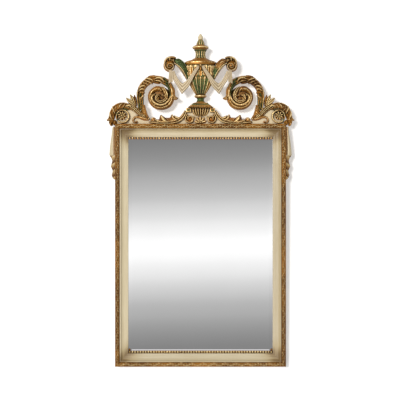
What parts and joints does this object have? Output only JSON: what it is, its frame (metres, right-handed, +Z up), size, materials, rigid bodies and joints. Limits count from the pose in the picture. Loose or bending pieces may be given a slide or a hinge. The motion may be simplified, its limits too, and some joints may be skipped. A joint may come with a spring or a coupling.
{
  "type": "wall mirror",
  "caption": "Tall rectangular wall mirror with a cream cove frame, gilt edge and an openwork carved crest of urn, swags and scrolls, hung from two rings.",
  "frame": {"origin": "on the wall, midway between the two points where the hanger rings rest on wall hooks", "axes": "+Z up along the mirror's height, +X to the right seen from the front, +Y into the wall; the glass faces -Y"},
  "size_m": [0.754, 0.0649, 1.336],
  "materials": {
    "cream_painted_wood": "satin aged paint",
    "gilt_wood": "antiqued gilding",
    "green_glazed_gilt_wood": "green glaze over gilding",
    "bare_pine": "raw",
    "silvered_glass": "polished",
    "zinc_steel": "zinc plated",
    "black_rubber": "matt"
  },
  "bodies": {
    "mirror": {"top_rail": "cream_painted_wood", "bottom_rail": "cream_painted_wood", "left_stile": "cream_painted_wood", "right_stile": "cream_painted_wood", "gilt_edge_top": "gilt_wood", "gilt_edge_bottom": "gilt_wood", "gilt_edge_left": "gilt_wood", "gilt_edge_right": "gilt_wood", "pearls_top": "gilt_wood", "pearls_bottom": "gilt_wood", "mirror_plate": "silvered_glass", "backing_board": "bare_pine", "retaining_strips": "bare_pine", "corner_braces": "zinc_steel", "brace_screws": "zinc_steel", "crest_board": "cream_painted_wood", "crest_straps": "zinc_steel", "strap_screws": "zinc_steel", "urn_batten": "bare_pine", "batten_screws": "zinc_steel", "pedestal": "gilt_wood", "gadroon_shell": "gilt_wood", "palmette": "gilt_wood", "urn_foot": "gilt_wood", "urn_body": "green_glazed_gilt_wood", "urn_boss": "gilt_wood", "urn_lid": "gilt_wood", "bud_finial": "cream_painted_wood", "handle_left": "green_glazed_gilt_wood", "handle_right": "green_glazed_gilt_wood", "swag_left": "cream_painted_wood", "swag_right": "cream_painted_wood", "swag_tail_left": "cream_painted_wood", "swag_tail_right": "cream_painted_wood", "scroll_left": "gilt_wood", "scroll_right": "gilt_wood", "corner_volute_left": "gilt_wood", "corner_volute_right": "gilt_wood", "corner_rosette_left": "gilt_wood", "corner_rosette_right": "gilt_wood", "leaf_spray_left": "gilt_wood", "leaf_spray_right": "gilt_wood", "base_leaf_left": "gilt_wood", "base_leaf_right": "gilt_wood", "pedestal_scroll_left": "gilt_wood", "pedestal_scroll_right": "gilt_wood", "side_drapery_left": "cream_painted_wood", "side_drapery_right": "cream_painted_wood", "hanger_strap_left": "zinc_steel", "hanger_strap_right": "zinc_steel", "hanger_screws": "zinc_steel", "bumper_left": "black_rubber", "bumper_right": "black_rubber"},
    "ring_left": {"hanger_ring_left": "zinc_steel"},
    "ring_right": {"hanger_ring_right": "zinc_steel"}
  },
  "joints": [
    {"name": "ring_left_swing", "type": "hinge", "parent": "mirror", "child": "ring_left", "pos_m": [-0.32, -0.005, -0.01405], "axis": [1, 0, 0], "range_deg": [0, 180]},
    {"name": "ring_right_swing", "type": "hinge", "parent": "mirror", "child": "ring_right", "pos_m": [0.32, -0.005, -0.01405], "axis": [1, 0, 0], "range_deg": [0, 180]}
  ]
}
